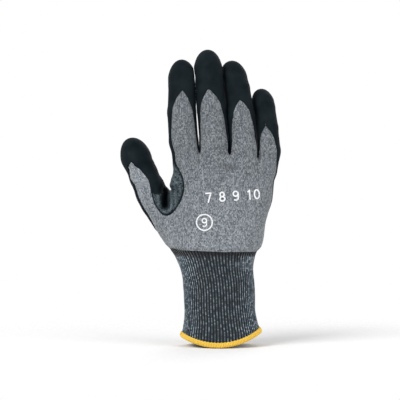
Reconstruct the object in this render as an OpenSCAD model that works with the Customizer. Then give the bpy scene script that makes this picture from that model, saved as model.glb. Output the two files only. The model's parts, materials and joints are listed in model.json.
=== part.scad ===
// Cut resistant work glove for a right hand: a knitted liner, a dipped rubber coat over the
// palm and fingertips, a ribbed cuff and an overlocked hem. It stands in the shape it has on
// a relaxed hand. +Z runs to the fingertips, -Y is the back of the hand, and the thumb is at
// -X. The origin is the middle of the opening that the hand goes into. Millimetres.

/* [Hand] */
// Breadth across the four finger roots
palm_breadth = 92; // [76:1:111]
// Cuff seam to the crotch beside the middle finger
palm_length = 85; // [70:1:102]
// Middle finger, from its crotch to its tip
middle_length = 88; // [73:1:106]
// Thumb, from its crotch to its tip
thumb_length = 52; // [43:1:63]

/* [Cuff] */
// Hem to cuff seam
cuff_length = 78; // [65:1:94]
// Width of the cuff at the wrist
cuff_width = 61; // [50:1:74]
// Depth of the cuff at the wrist, back to palm
cuff_depth = 47; // [39:1:57]
// Height of the overlocked hem
hem_height = 4.4; // [3.7:0.1:5.3]
// How far the hem rises at the sides and dips at the front and back
hem_wave = 7; // [5:0.5:9]

// Width of one rib and its valley
rib_pitch = 2.2; // [1.9:0.1:2.6]

/* [Layers] */
// Thickness of the knitted liner
knit_wall = 1.2; // [1:0.1:1.5]
// Thickness of the dipped coat
coat_wall = 0.6; // [0.5:0.05:0.8]
// Thickness of the second dip at the thumb crotch
patch_wall = 0.5; // [0.4:0.05:0.6]
// Thickness of the printed marks
print_wall = 0.2; // [0.15:0.05:0.25]
// Clearance between a bending section and the section that moves
bend_gap = 0.3; // [0.2:0.05:0.4]

/* [Motion] */
// Furthest bend that the palm side of a finger joint leaves room for
finger_bend = 90; // [75:1:100]
// Furthest bend of the wrist that the cuff leaves room for, either way
wrist_bend = 50; // [42:1:56]
// Half width of a finger joint's bending section at the back of the finger
bend_half = 2.2; // [1.8:0.1:2.6]

/* [Hidden] */
FINGERS = ["index", "middle", "ring", "little", "thumb"];
THUMB = 4;
SECTIONS = ["proximal", "middle", "tip"];
THUMB_SECTIONS = ["proximal", "tip"];

// Each list goes index, middle, ring, little. Widths are shares of palm_breadth.
root_across = [-0.340, -0.060, 0.209, 0.446];
tip_across = [-0.372, -0.120, 0.124, 0.376];
root_girth = [0.270, 0.258, 0.238, 0.204];
tip_girth = [0.230, 0.234, 0.216, 0.186];
root_forward = [1, 0, 1, 4];
// How far each root lies below the middle finger's, as a share of palm_length
root_drop = [0, 0, 0.06, 0.106];
length_share = [0.875, 0.975, 0.935, 0.715];
// Share of a finger's length that each of its three sections takes
section_share = [0.315, 0.33, 0.325];
thumb_share = [0.36, 0.555];
// Bend of each joint when the hand inside is relaxed
rest_curl = [[4, 8, 6], [5, 9, 7], [8, 13, 8], [11, 15, 10], [6, 10]];
thumb_girth = 0.268;
thumb_tip_girth = 0.262;
thumb_root = [-0.632, 0.109, 0.565];
thumb_lean = 24;
thumb_forward = 8;
thumb_roll = 25;

// The first joint sits this far above the crotch, and every hinge line this share of the
// radius towards the palm, because the coated side hardly stretches.
root_rise = 6;
hinge_share = 0.5;
far = 60;
// Air between a stall and anything of the hand that stands beside it
stall_gap = 0.9;
// How far a cut's tool runs past the piece, and a clearance that only keeps faces apart
extra = 5;
hair = 0.05;
// Degrees that a gap opens past the bend it leaves room for
spare_bend = 1;
// The knuckle balls lie this share of a root's radius below it, the thumb's this far
knuckle_drop = 0.8;
thumb_knuckle = -14;
thumb_web = -11;
web_girth = 0.095;

seam_z = cuff_length;
crotch_z = seam_z + palm_length;

function move(v) = [[1, 0, 0, v[0]], [0, 1, 0, v[1]], [0, 0, 1, v[2]], [0, 0, 0, 1]];
function turn_x(a) = [[1, 0, 0, 0], [0, cos(a), -sin(a), 0], [0, sin(a), cos(a), 0], [0, 0, 0, 1]];
function turn_y(a) = [[cos(a), 0, sin(a), 0], [0, 1, 0, 0], [-sin(a), 0, cos(a), 0], [0, 0, 0, 1]];
function turn_z(a) = [[cos(a), -sin(a), 0, 0], [sin(a), cos(a), 0, 0], [0, 0, 1, 0], [0, 0, 0, 1]];

function is_thumb(f) = f == THUMB;
function finger_length(f) = is_thumb(f) ? thumb_length : middle_length * length_share[f];
function section_length(f, j) =
    finger_length(f) * (is_thumb(f) ? thumb_share[j] : section_share[j]);
function joints(f) = is_thumb(f) ? 2 : 3;
function root(f) = is_thumb(f)
    ? [thumb_root[0] * palm_breadth, thumb_root[1] * palm_breadth, seam_z + thumb_root[2] * palm_length]
    : [root_across[f] * palm_breadth, root_forward[f], crotch_z - root_drop[f] * palm_length];
function lean(f) = is_thumb(f)
    ? thumb_lean
    : atan((root_across[f] - tip_across[f]) * palm_breadth / finger_length(f));

// Frame of a finger at its crotch, and of each of its joints: z along the section, -y its back
function finger_frame(f) = is_thumb(f)
    ? move(root(f)) * turn_y(-lean(f)) * turn_x(-thumb_forward) * turn_z(-thumb_roll)
    : move(root(f)) * turn_y(-lean(f));
function section_frame(f, j) = j == 0
    ? finger_frame(f) * move([0, 0, root_rise]) * turn_x(-rest_curl[f][0])
    : section_frame(f, j - 1) * move([0, 0, section_length(f, j - 1)]) * turn_x(-rest_curl[f][j]);
// Halfway between the sections that meet at a joint, which is where the gap is cut
function gap_frame(f, j) = section_frame(f, j) * turn_x(rest_curl[f][j] / 2);

function station(f, j) = j == 0 ? root_rise : station(f, j - 1) + section_length(f, j - 1);
// Outer radius of the coat at a station along the finger, and the knit's under it
function coat_radius(f, s) =
    let (share = min(1, max(0, s / finger_length(f))),
         girth = is_thumb(f) ? [thumb_girth, thumb_tip_girth] : [root_girth[f], tip_girth[f]])
    palm_breadth / 2 * (girth[0] + (girth[1] - girth[0]) * share);
function knit_radius(f, s) = coat_radius(f, s) - coat_wall;
function hinge_offset(f, j) = hinge_share * knit_radius(f, station(f, j));
// A joint's hinge point in the glove's frame
function hinge_point(f, j) = gap_frame(f, j) * [0, hinge_offset(f, j), 0, 1];

// ---- joint gaps -------------------------------------------------------------------------

module side_profile() rotate([90, 0, 90]) linear_extrude(2 * far, center = true) children();

// Everything on the fingertip side (up = 1) or the wrist side (up = -1) of a joint's gap face.
// The face is flat behind the hinge and slopes away before it, so that the joint can close.
module beyond_gap(f, j, up, half) {
    y = hinge_offset(f, j);
    rise = (far - y) * tan((finger_bend + 2 * spare_bend) / 2);
    multmatrix(gap_frame(f, j)) side_profile()
        polygon([[-far, up * half], [y, up * half], [far, up * (half + rise)], [far, up * 3 * far], [-far, up * 3 * far]]);
}

// What is left of a section once its two gaps are cut: it lies above joint j and below j + 1
module between_gaps(f, j) difference() {
    children();
    multmatrix(section_frame(f, j)) translate([-far, -far, -2 * far - extra]) cube([2 * far, 2 * far, 2 * far]);
    difference() {
        multmatrix(gap_frame(f, j)) translate([-far, -far, -2 * far]) cube([2 * far, 2 * far, 3 * far]);
        beyond_gap(f, j, 1, bend_half);
    }
    if (j + 1 < joints(f)) difference() {
        multmatrix(gap_frame(f, j + 1)) translate([-far, -far, -far]) cube([2 * far, 2 * far, 3 * far]);
        beyond_gap(f, j + 1, -1, bend_half);
    }
}

// ---- finger sections --------------------------------------------------------------------

// A tapered tube along a section, a little longer than it at both ends
module taper(f, j, inset) {
    s = station(f, j);
    e = s + section_length(f, j);
    slope = (knit_radius(f, e) - knit_radius(f, s)) / (e - s);
    multmatrix(section_frame(f, j)) translate([0, 0, -extra])
        cylinder(h = e - s + 2 * extra, r1 = knit_radius(f, s) - inset - slope * extra,
                 r2 = knit_radius(f, e) - inset + slope * extra, $fn = 48);
}

// The last section: a tapered wall that ends in a dome, as one turned profile
module dome(f, inset) {
    j = joints(f) - 1;
    s = station(f, j);
    tip_r = knit_radius(f, finger_length(f)) - inset;
    rise = section_length(f, j) - coat_wall - inset - tip_r;
    multmatrix(section_frame(f, j)) rotate_extrude($fn = 48) intersection() {
        translate([0, -extra]) square([far, far]);
        union() {
            polygon([[0, -extra], [knit_radius(f, s) - inset, -extra], [tip_r, rise], [0, rise]]);
            translate([0, rise]) circle(tip_r, $fn = 48);
        }
    }
}

module section_form(f, j, inset) {
    if (j == joints(f) - 1) dome(f, inset);
    else taper(f, j, inset);
}

module knit_section(f, j) between_gaps(f, j) difference() {
    section_form(f, j, 0);
    section_form(f, j, knit_wall);
}

// The pointed window that the coat leaves on the back of a finger, in the section's own frame
module knit_window(f, j) {
    reach = arch_reach(f) - station(f, j);
    half = 0.8 * coat_radius(f, 0);
    sweep = (pow(reach + station(f, j), 2) + half * half) / (2 * half);
    multmatrix(section_frame(f, j)) translate([0, 0, -station(f, j)]) rotate([90, 0, 0])
        linear_extrude(far) intersection() {
            translate([sweep - half, 0]) circle(sweep, $fn = 96);
            translate([half - sweep, 0]) circle(sweep, $fn = 96);
            translate([-far, -far]) square([2 * far, 3 * far]);
        }
}
// Station of the window's point: just short of the last joint
function arch_reach(f) = station(f, joints(f) - 1) - 1;

module coat_section(f, j) between_gaps(f, j) difference() {
    section_form(f, j, -coat_wall);
    section_form(f, j, 0);
    if (j < joints(f) - 1) knit_window(f, j);
}

// The knit that crosses a joint and stretches or folds as it bends
module bend_section(f, j) {
    r = knit_radius(f, station(f, j));
    // it ends before the middle of the sections beside it, where the next joint's may start,
    // even on the palm side, where a curled finger brings the two together
    half = min(r, section_length(f, max(0, j - 1)) / 2, section_length(f, j) / 2)
        - r * tan(max(rest_curl[f]) / 2) - hair;
    difference() {
        multmatrix(gap_frame(f, j)) translate([0, 0, -half]) difference() {
            cylinder(h = 2 * half, r = r - hair, $fn = 48);
            translate([0, 0, -1]) cylinder(h = 2 * half + 2, r = r - knit_wall, $fn = 48);
        }
        beyond_gap(f, j, 1, bend_half - bend_gap);
        beyond_gap(f, j, -1, bend_half - bend_gap);
    }
}

// ---- hand -------------------------------------------------------------------------------

function across(v) = v * palm_breadth;
function up_palm(v) = seam_z + v * palm_length;
function point(m, v) = let (p = m * concat(v, 1)) [p[0], p[1], p[2]];
function thumb_point(s) = point(finger_frame(THUMB), [0, 0, s]);
// Centre of the ball under each stall; the web between two stalls is the top of these balls
function knuckle(f) =
    is_thumb(f) ? thumb_point(thumb_knuckle) : root(f) - [0, 0, knuckle_drop * coat_radius(f, 0)];

// Balls the hand is stretched over: [x, y, z, radius] of the coat's outside
heel = [across(0.21), 4, up_palm(0.2), across(0.215)];
side = [across(0.315), 4, up_palm(0.5), across(0.16)];
thenar = [across(-0.37), 9, up_palm(0.27), across(0.19)];
pad = [across(-0.24), 8, up_palm(0.52), across(0.16)];
thumb_heel = [across(-0.4), 7, up_palm(0.15), across(0.14)];
web = [across(-0.37), 6, up_palm(0.53), across(web_girth)];

module ball(b, grow) translate([b[0], b[1], b[2]]) sphere(b[3] + grow, $fn = 24);

// The oval where the liner's knit changes to the cuff's rib
module wrist_end(grow) translate([-cuff_lean * seam_z, 0, seam_z - extra])
    scale([shape_at(seam_z, 1) * cuff_width + coat_wall + grow, shape_at(seam_z, 2) * cuff_depth + coat_wall + grow, 1])
        cylinder(h = extra + 1, r = 1, $fn = 48);

module hand_form(grow) {
    for (i = [0 : 2]) hull() for (k = [i, i + 1]) {
        ball(concat(knuckle(k), coat_radius(k, 0)), grow);
        wrist_end(grow);
    }
    hull() {
        wrist_end(grow);
        ball(heel, grow);
        ball(side, grow);
        ball(concat(knuckle(3), coat_radius(3, 0)), grow);
    }
    hull() {
        wrist_end(grow);
        ball(thenar, grow);
        ball(pad, grow);
        ball(heel, grow);
    }
    hull() {
        wrist_end(grow);
        ball(thumb_heel, grow);
        ball(thenar, grow);
    }
    hull() {
        ball(thumb_heel, grow);
        ball(thenar, grow);
        ball(concat(knuckle(THUMB), coat_radius(THUMB, 0)), grow);
    }
    hull() {
        ball(web, grow);
        ball(thenar, grow);
        ball(concat(thumb_point(thumb_web), across(web_girth)), grow);
    }
    for (f = [0 : THUMB]) hull() {
        ball(concat(knuckle(f), coat_radius(f, 0)), grow);
        multmatrix(finger_frame(f)) cylinder(h = root_rise, r = coat_radius(f, 0) + grow, $fn = 24);
    }
}

// A layer of the hand between two offsets, cut at the cuff seam and at the five first joints
module hand_layer(outer, inner) difference() {
    hand_form(outer);
    hand_form(inner);
    translate([-2 * far, -far, seam_z - 4 * far]) cube([4 * far, 2 * far, 4 * far]);
    for (f = [0 : THUMB]) difference() {
        multmatrix(finger_frame(f)) translate([0, 0, -far / 2])
            cylinder(h = far, r = coat_radius(f, 0) + stall_gap, $fn = 24);
        beyond_gap(f, 0, -1, bend_half);
    }
}

module hand_knit() hand_layer(-coat_wall, -coat_wall - knit_wall);

// Everything under a shape drawn on the back of the hand, in x and z
module drawn(depth_from, depth_to) translate([0, depth_to, 0]) rotate([90, 0, 0])
    linear_extrude(depth_to - depth_from) children();

// The U that the thumb crotch's dips reach round to on the back: a bowl with an arm up each side
crotch_x = across(-0.485);
crotch_low = up_palm(0.46);
crotch_r = across(0.152);
module crotch_u(inset) translate([crotch_x, crotch_low]) union() {
    translate([inset - crotch_r, 0]) square([crotch_r - inset, 0.3 * palm_length]);
    hull() {
        circle(crotch_r - inset, $fn = 48);
        translate([0, 0.4 * palm_length]) circle(crotch_r / 3 - inset / 2, $fn = 24);
    }
}

// The coat starts where the hand turns from its back to its palm
module palm_side() rotate([90, 0, 90]) linear_extrude(4 * far, center = true) polygon([
    [8, seam_z - extra], [5, up_palm(0.45)], [1, up_palm(0.7)], [-3, up_palm(0.92)],
    [-3, crotch_z + far], [far, crotch_z + far], [far, seam_z - extra]]);

module palm_coat() difference() {
    intersection() {
        hand_layer(0, -coat_wall);
        union() {
            palm_side();
            drawn(-far, far) crotch_u(0);
        }
    }
    for (f = [0 : 3]) knit_window(f, 0);
}

module crotch_patch() intersection() {
    hand_layer(patch_wall, 0);
    drawn(-far, far) crotch_u(2);
    drawn(-far, far) translate([-2 * far, -far]) square([4 * far, far + up_palm(0.72)]);
}

// ---- printed marks ----------------------------------------------------------------------

mark_h = across(0.088);
mark_stroke = across(0.016);
module ring(r) difference() {
    circle(r, $fn = 32);
    circle(r - mark_stroke, $fn = 32);
}
module bar(w, h) translate([-w / 2, -h / 2]) square([w, h]);
module numeral(n) {
    r = mark_h * 0.29;
    if (n == 0) for (k = [0, 1]) intersection() {
        scale([0.72, 1]) ring(mark_h / 2);
        translate([0, (k - 0.5) * mark_h]) bar(mark_h, mark_h);
    }
    if (n == 1) bar(mark_stroke, mark_h);
    if (n == 7) {
        translate([0, (mark_h - mark_stroke) / 2]) bar(0.56 * mark_h, mark_stroke);
        rotate(-22) bar(mark_stroke, 0.93 * mark_h);
    }
    if (n == 8) for (k = [-1, 1]) translate([0, k * 0.21 * mark_h]) ring(r);
    if (n == 9) {
        translate([0, 0.21 * mark_h]) ring(r);
        translate([r - mark_stroke, -mark_h / 2]) square([mark_stroke, 0.71 * mark_h]);
    }
}
module on_back() intersection() {
    hand_layer(print_wall - coat_wall, -coat_wall);
    drawn(-far, 0) children();
}
// A plain row of glove sizes, with this glove's size in a ring below it
module size_row() on_back() translate([across(0.1), up_palm(0.55)]) rotate(-4)
    for (k = [0 : 3]) translate([(k - 1.5) * across(0.135), 0])
        if (k < 3) numeral(7 + k);
        else for (d = [0, 1]) translate([(d - 0.5) * 0.62 * mark_h, 0]) numeral(1 - d);
module size_ring() on_back() translate([across(-0.15), up_palm(0.31)]) rotate(-4) {
    ring(across(0.075));
    numeral(9);
}

// ---- cuff -------------------------------------------------------------------------------

// Half widths of the cuff's outside along its height: [share of the height, width, depth]
cuff_shape = [[-0.2, 0.56, 0.53], [0, 0.55, 0.52], [0.12, 0.515, 0.5], [0.3, 0.5, 0.5], [0.65, 0.5, 0.5],
              [0.85, 0.53, 0.51], [1, 0.6, 0.525], [1.2, 0.66, 0.54]];
cuff_lean = 0.075;
wrist_z = 0.72 * cuff_length;
wrist_gap = 1.6;
rib_depth = 0.45;
rib_count = 2 * round(PI * (cuff_width + cuff_depth) / 4 / rib_pitch);
ring_points = 2 * rib_count;

function shape_at(h, col) = lookup(h / cuff_length, [for (r = cuff_shape) [r[0], r[col]]]);
// A point of the cuff's wall: direction, height, and how far in from its crests
function cuff_point(k, z, inset) =
    let (a = 360 * k / ring_points,
         valley = k % 2 == 0 ? 0 : rib_depth)
    [shape_at(z, 1) * cuff_width * cos(a) - (inset + valley) * cos(a) - cuff_lean * z,
     shape_at(z, 2) * cuff_depth * sin(a) - (inset + valley) * sin(a), z];
hem_z = function (k) hem_wave * cos(720 * k / ring_points);
// Height of the edge that faces the wrist joint, on the hand's side (up = 1) or the hem's
function wrist_edge(k, up, gap) =
    wrist_z + up * (gap + abs(sin(360 * k / ring_points)) * cuff_depth / 2 * tan((wrist_bend + 2 * spare_bend) / 2));

// A closed ring of wall made of loops, each loop a list of points round the cuff. Two walls
// that share a face run along it in opposite directions, so one splits its quads the other way.
module loops(rows, other_way = false) {
    n = ring_points;
    m = len(rows);
    polyhedron(points = [for (r = rows) each r], faces = [for (i = [0 : m - 1], k = [0 : n - 1])
        let (a = i * n, b = (i + 1) % m * n, c = (k + 1) % n)
        each other_way ? [[a + k, b + k, a + c], [b + k, b + c, a + c]]
                       : [[a + k, b + k, b + c], [a + k, b + c, a + c]]]);
}
function loop_row(z, inset) = [for (k = [0 : ring_points - 1]) cuff_point(k, z(k), inset)];
// Ribbed wall between two edges
module ribbed(low, high, steps) {
    between = function (t) function (k) low(k) + t * (high(k) - low(k));
    loops(concat([for (i = [0 : steps]) loop_row(between(i / steps), 0)],
                 [for (i = [steps : -1 : 0]) loop_row(between(i / steps), knit_wall)]));
}
hem_top = function (k) hem_z(k) + hem_height;
hem_slot = function (k) hem_z(k) + hem_wrap;
hem_wrap = 1.1;
hem_side = 1;

module cuff_rib() {
    low = function (k) wrist_edge(k, -1, wrist_gap);
    between = function (t) function (k) hem_top(k) + t * (low(k) - hem_top(k));
    rows = [for (i = [0 : 4]) between(i / 4)];
    loops(concat([loop_row(hem_slot, 0)], [for (r = rows) loop_row(r, 0)],
                 [for (i = [4 : -1 : 0]) loop_row(rows[i], knit_wall)], [loop_row(hem_slot, knit_wall)]));
}
module wrist_rib() ribbed(function (k) wrist_edge(k, -1, wrist_gap - bend_gap),
                          function (k) wrist_edge(k, 1, wrist_gap - bend_gap), 3);
module seam_rib() ribbed(function (k) wrist_edge(k, 1, wrist_gap), function (k) seam_z, 2);

// The overlock's thread wraps the raw edge of the rib, outside, under and inside
module hem() loops([
    loop_row(hem_slot, 0), loop_row(hem_slot, knit_wall), loop_row(hem_top, knit_wall),
    loop_row(hem_top, knit_wall + 0.6 * hem_side),
    loop_row(function (k) hem_z(k) + hem_height / 2, knit_wall + hem_side),
    loop_row(hem_z, knit_wall + 0.3 * hem_side), loop_row(hem_z, -0.3 * hem_side),
    loop_row(function (k) hem_z(k) + hem_height / 2, -hem_side),
    loop_row(hem_top, -0.6 * hem_side), loop_row(hem_top, 0)], other_way = true);

// ---- assembly ---------------------------------------------------------------------------

function names(f, what) = [for (s = is_thumb(f) ? THUMB_SECTIONS : SECTIONS) str(FINGERS[f], "_", s, "_", what)];

module grey() color([0.5, 0.5, 0.52]) children();
module black() color([0.1, 0.11, 0.12]) children();
module charcoal() color([0.25, 0.26, 0.27]) children();

color([0.95, 0.7, 0.1]) hem();
charcoal() cuff_rib();
charcoal() wrist_rib();
charcoal() seam_rib();
grey() hand_knit();
black() palm_coat();
black() crotch_patch();
color("white") size_row();
color("white") size_ring();
for (f = [0 : THUMB], j = [0 : joints(f) - 1]) {
    grey() knit_section(f, j);
    black() coat_section(f, j);
    grey() bend_section(f, j);
}
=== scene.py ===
# %% [markdown]
# # A cut resistant glove
# This notebook dresses a glove whose moving parts are already built. The CAD model gives the
# places: the hinges in the fingers, the wrist, the hem. Here we make what a person sees: the
# grey knitted liner, the black rubber that its palm and fingertips were dipped in, the ribbed
# cuff and the yellow overlock round its mouth. Run the cells in order.

# %% Load the frame
import json
import math
import bpy
import numpy as np
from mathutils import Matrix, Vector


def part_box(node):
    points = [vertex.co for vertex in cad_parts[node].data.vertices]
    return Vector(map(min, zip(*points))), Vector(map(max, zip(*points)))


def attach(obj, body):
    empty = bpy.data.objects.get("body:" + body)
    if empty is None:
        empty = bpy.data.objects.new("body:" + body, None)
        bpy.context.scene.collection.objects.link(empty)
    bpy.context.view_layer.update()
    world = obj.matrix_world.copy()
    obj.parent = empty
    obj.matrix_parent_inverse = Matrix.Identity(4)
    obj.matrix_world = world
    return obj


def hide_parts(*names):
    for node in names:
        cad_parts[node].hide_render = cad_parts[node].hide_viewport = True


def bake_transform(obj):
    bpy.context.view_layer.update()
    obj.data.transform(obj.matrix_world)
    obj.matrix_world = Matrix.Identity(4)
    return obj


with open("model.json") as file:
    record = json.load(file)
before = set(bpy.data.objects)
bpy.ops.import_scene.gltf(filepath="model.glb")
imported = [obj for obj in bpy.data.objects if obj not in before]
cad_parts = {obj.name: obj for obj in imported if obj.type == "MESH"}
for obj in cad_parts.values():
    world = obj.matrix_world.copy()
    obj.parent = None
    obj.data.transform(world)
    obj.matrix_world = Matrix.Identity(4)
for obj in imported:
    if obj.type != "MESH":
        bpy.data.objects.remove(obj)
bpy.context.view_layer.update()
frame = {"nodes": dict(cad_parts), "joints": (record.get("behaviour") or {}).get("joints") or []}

import openvdb
from mathutils import Vector

MM = 1000.0        # Blender works in metres, and the sizes below are in millimetres
nodes = frame["nodes"]
joints = {j["name"]: j for j in frame["joints"]}


# %% [markdown]
# ## Where the fingers are
# Every finger of the glove is a stall: a tube of knit with a few bends in it. The hinges of the
# CAD fingers lie between the middle of the stall and its palm side. We walk back from each hinge
# to the middle of the tube, and so get a line of points that each finger is built round. The
# points could be typed in, but read from the frame they follow the CAD when a finger changes.

# %% Read the stalls from the frame
# how far each tip is set back, then how far each hinge and the tip move sideways, in millimetres:
# a knitted stall bows a little where the straight tubes of the CAD don't
SHAPE = {"index": (5.1, 0.4, -0.4, 0.8, 0.9), "middle": (5.0, 0.2, -0.3, -0.9, -0.2),
         "ring": (3.5, 0.8, 0.5, -0.4, -3.1), "little": (4.1, 0.5, 0.8, 0.6, -0.7),
         "thumb": (4.8, -0.6, -3.2, -3.0)}
CAD_RUBBER = 0.6                   # the CAD's rubber lies outside the skin that we build first
HINGE_OFF = 0.5                    # a hinge lies this share of the radius towards the palm
ROOT_BELOW = 6                     # the root of a stall lies a little below its first hinge
EGG_LONG, EGG_WIDE = 1.5, 0.985    # each stall ends in half an egg rather than half a ball


def points_of(node):
    """Corners of a CAD piece, in millimetres."""
    mesh = nodes[node].data
    co = np.zeros(len(mesh.vertices) * 3)
    mesh.vertices.foreach_get("co", co)
    return co.reshape(-1, 3) * MM


def unit(v):
    return v / np.linalg.norm(v)


class Stall:
    """A finger of the glove: its middle line from root to end, and its radii."""
    def __init__(self, name, sections):
        self.name, self.sections = name, sections
        hinges = [joints[f"{name}_{s}_hinge"] for s in sections]
        self.axis = np.array(hinges[0]["axis"], float)
        h = [np.array(j["pos_m"]) * MM for j in hinges]
        widths = [np.ptp(points_of(f"{name}_{s}_coat") @ self.axis) / 2 for s in sections]
        end = points_of(f"{name}_{sections[-1]}_coat")
        end = end[np.argmax(np.linalg.norm(end - h[-1], axis=1))]
        set_back, *bow = SHAPE[name]
        end = end - unit(end - h[-1]) * set_back + [bow[-1], 0, 0]
        self.along = [unit(b - a) for a, b in zip(h, h[1:] + [end])]
        self.palmward = [np.cross(self.axis, d) for d in self.along]
        self.spine = [p - q * HINGE_OFF * (w - CAD_RUBBER) + [dx, 0, 0]
                      for p, q, w, dx in zip(h, self.palmward, widths, bow)]
        self.root = self.spine[0] - self.along[0] * ROOT_BELOW
        tip, self.way = widths[-1] - CAD_RUBBER, unit(end - self.spine[-1])
        self.egg = (EGG_LONG * tip, tip * EGG_WIDE)
        self.spine.append(end - self.way * self.egg[0])
        self.radii = [w - CAD_RUBBER for w in widths] + [self.egg[1]]
        self.line = [self.root] + self.spine + [end]
        self.total = sum(np.linalg.norm(b - a) for a, b in zip(self.line, self.line[1:]))


THREE = ["proximal", "middle", "tip"]
stalls = [Stall(n, THREE) for n in ("index", "middle", "ring", "little")]
thumb = Stall("thumb", ["proximal", "tip"])
everyone = stalls + [thumb]
for s in everyone:
    print(s.name, "root", s.root.round(1), "length", s.total.round(1), "radius", np.round(s.radii, 1))

# %% [markdown]
# ## A solid made of distances
# A worn glove has no sharp corner anywhere: palm, thumb ball and fingers run into each other. It
# could be sculpted by hand, or built up with a subdivision surface. We use a distance field, as
# it is exact and easy to change: each part of the hand is a tapered rod, given as the distance to
# its skin, and a soft minimum melts the rods together. Blender's OpenVDB library then turns the
# field into a mesh of even quads.

# %% Tapered rods and the soft minimum
def rod(p, a, b, ra, rb):
    """Distance from points p to a rod from a to b with round ends of radius ra and rb."""
    a, b = np.asarray(a, np.float32), np.asarray(b, np.float32)
    d = b - a
    t = np.clip(((p - a) @ d) / float(d @ d), 0, 1)
    return np.linalg.norm(p - a - t[..., None] * d, axis=-1) - (ra + (rb - ra) * t)


def melt(a, b, k):
    """Soft minimum of two distances: the fillet between them is about k wide."""
    h = np.maximum(k - np.abs(a - b), 0) / k
    return np.minimum(a, b) - h * h * k / 4


def smooth(lo, hi, x):
    """Runs from 0 at lo to 1 at hi along an S, and stays there; lo may be above hi."""
    t = np.clip((x - lo) / (hi - lo), 0, 1)
    return t * t * (3 - 2 * t)


print("where two skins cross, melting them over 4 mm adds", -melt(0.0, 0.0, 4.0), "mm")

# %% [markdown]
# ## The palm
# The palm is a fan of rods from the wrist to the finger roots, the ball of the thumb, the heel of
# the hand, and a bridge between thumb and index that becomes the crotch of the thumb. A box bent
# to shape would need all its corners moved by hand. The rods start and end at the finger roots
# and the seam of the CAD, so the palm fits them by itself.

# %% The palm as a distance
seam_lo, seam_hi = (np.array(c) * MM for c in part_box("seam_rib"))
seam_z = seam_hi[2]
seam_mid = (seam_lo[0] + seam_hi[0]) / 2
# where each finger's rod starts in the wrist: how far across, and its radius there
WRIST = [(-15, 22.0), (-5, 24.6), (6, 24.6), (15, 21.6)]
# each finger's knuckle: how far across, how many radii down, and how much slimmer than its root
KNUCKLE = [(3.0, 0.75, 0.9), (0.4, 0.95, 0.4), (0.3, 1.1, 0.3), (-2.2, 0.9, 0.4)]
FAN_MELT = 9
# the other rods: both ends, both radii, and how widely each melts into the rest
PALM_RODS = [
    ((8, 4, 88), (15.5, 2, 89), 20, 20.6, 6),          # the bulge over the cuff
    ((8, 6, 92), (26, 5, 120), 20, 13.5, 12),          # the heel of the hand
    ((-22, 9, 92), (-36, 12, 114), 16, 13, 10),        # the ball of the thumb
    ((-31.5, 6, 85), thumb.root - thumb.along[0] * 3, 16.0, thumb.radii[0] + 1.2, 8),
    ((-32, 4, 106), (-49, 9, 109), 10, 9.5, 6),        # the bridge to the index
]


def palm_distance(p):
    d = None
    for (dx, r), s, (across, down, slim) in zip(WRIST, stalls, KNUCKLE):
        knuckle = s.root + [across, 0, -down * s.radii[0]]
        e = rod(p, (seam_mid + dx, 0, seam_z - 4), knuckle, r, s.radii[0] - slim)
        d = e if d is None else melt(d, e, FAN_MELT)
    for a, b, ra, rb, soft in PALM_RODS:
        d = melt(d, rod(p, a, b, ra, rb), soft)
    return d


middle_of_palm = np.array([[0, 0, 120]], np.float32)
print("the middle of the palm lies", -palm_distance(middle_of_palm)[0].round(1), "mm inside its skin")

# %% [markdown]
# ## The finger stalls
# A stall is a chain of rods along its middle line with an egg for the fingertip. A plain capsule
# would end too round and stand too stiff. Filled with a finger, the knit swells once it is clear
# of the crotch, and the rubber creases across the palm side of each joint, so both are added.

# %% The stalls as distances
# how much each stall swells, and how far its foot is moved sideways
PUFF = {"index": 0.6, "middle": 1.1, "ring": 1.25, "little": 0.8, "thumb": 0.9}
FOOT = {"index": 1.4, "middle": 0.1, "ring": -0.1, "little": -1.3, "thumb": 0.3}
FOOT_BELOW = 10                     # the foot of a stall lies this far down in the palm
BEND_MELT = 1.2
SWELL_FROM = (-7, 2)                # along the stall, where the swelling starts and is full
# index and middle stand just apart between their first two joints: how much, on which side (from
# x to x), and between which heights it starts and ends
APART = 0.42
APART_SIDE = {"index": (-26, -19), "middle": (-12, -19)}
APART_FROM, APART_TO = (164, 171), (204, 196)
# creases across a joint: depth, width, and how far towards the palm they start and are full
CREASE_DEEP, CREASE_WIDE, CREASE_SIDE = 0.55, 1.3, (2, 9)


def egg_distance(q, s):
    """Distance to the egg at the end of a stall, for points measured from its middle."""
    long, wide = s.egg
    t = q @ s.way.astype(np.float32)
    r2 = np.maximum((q * q).sum(-1) - t * t, 0)
    k0 = np.sqrt(r2 / wide ** 2 + t * t / long ** 2)
    k1 = np.sqrt(r2 / wide ** 4 + t * t / long ** 4) + 1e-6
    return k0 * (k0 - 1) / k1


def stall_distance(p, s):
    pts = [s.root - s.along[0] * FOOT_BELOW + [FOOT[s.name], 0, 0]] + s.spine
    radii = [s.radii[0] - abs(FOOT[s.name])] + s.radii
    d = None
    for a, b, ra, rb in zip(pts, pts[1:], radii, radii[1:]):
        e = rod(p, a, b, ra, rb)
        d = e if d is None else melt(d, e, BEND_MELT)
    d = melt(d, egg_distance(p - s.spine[-1].astype(np.float32), s), BEND_MELT)
    d = d - PUFF[s.name] * smooth(*SWELL_FROM, (p - s.root) @ s.along[0])
    if s.name in APART_SIDE:
        x, z = p[..., 0], p[..., 2]
        d = d + APART * smooth(*APART_SIDE[s.name], x) * smooth(*APART_FROM, z) * smooth(*APART_TO, z)
    for c, along, palmward in zip(s.spine, s.along, s.palmward):
        q = p - c
        crease = np.exp(-((q @ along) / CREASE_WIDE) ** 2) * smooth(*CREASE_SIDE, q @ palmward)
        d = d + CREASE_DEEP * crease
    return d


for s in everyone:
    print(s.name, "is", -2 * stall_distance(s.spine[1][None], s)[0].round(1), "mm thick at a joint")

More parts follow.
